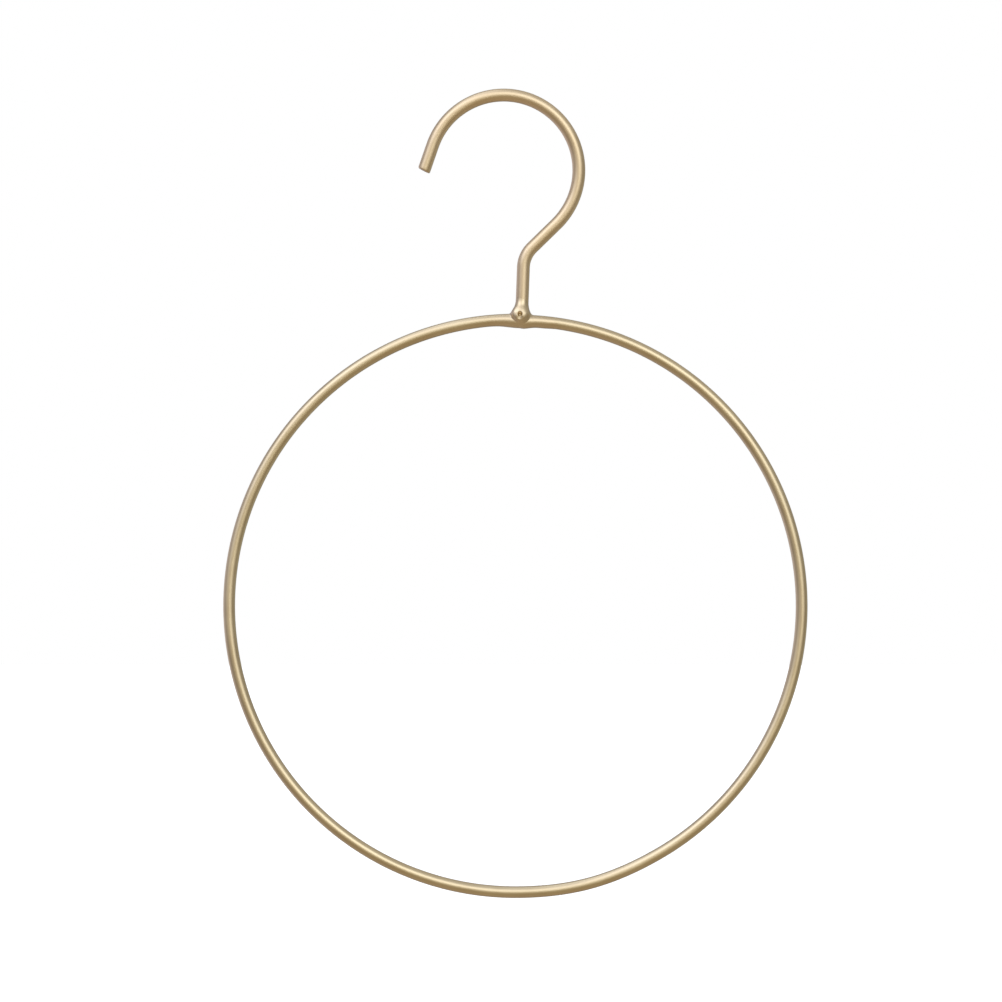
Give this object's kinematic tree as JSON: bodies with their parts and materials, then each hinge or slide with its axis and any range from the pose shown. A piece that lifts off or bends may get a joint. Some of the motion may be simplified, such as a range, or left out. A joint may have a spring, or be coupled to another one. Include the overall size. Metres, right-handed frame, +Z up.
{
  "type": "wreath frame",
  "caption": "Flat round wire ring with a wire hook welded to its top, for hanging a wreath or bound floral ring.",
  "frame": {"origin": "the hook's seat: the inside top of the hook's round bend, in the middle of the wire, where the frame hangs", "axes": "+Z up along the frame's height, +X to the right as seen from the front, +Y towards the back; the front, at -Y, is the side with the larger weld bead, and seen from there the hook's mouth is at the left"},
  "size_m": [0.1999, 0.0071, 0.277],
  "materials": {
    "ring_gold": "satin champagne-gold metallic coat on round steel wire",
    "hook_gold": "satin champagne-gold metallic coat on thicker round steel wire",
    "weld_gold": "the same gold coat over smooth weld metal"
  },
  "bodies": {
    "root": {"ring": "ring_gold", "hook": "hook_gold", "ring_seam_weld": "weld_gold", "front_weld": "weld_gold", "rear_weld": "weld_gold"}
  },
  "joints": []
}
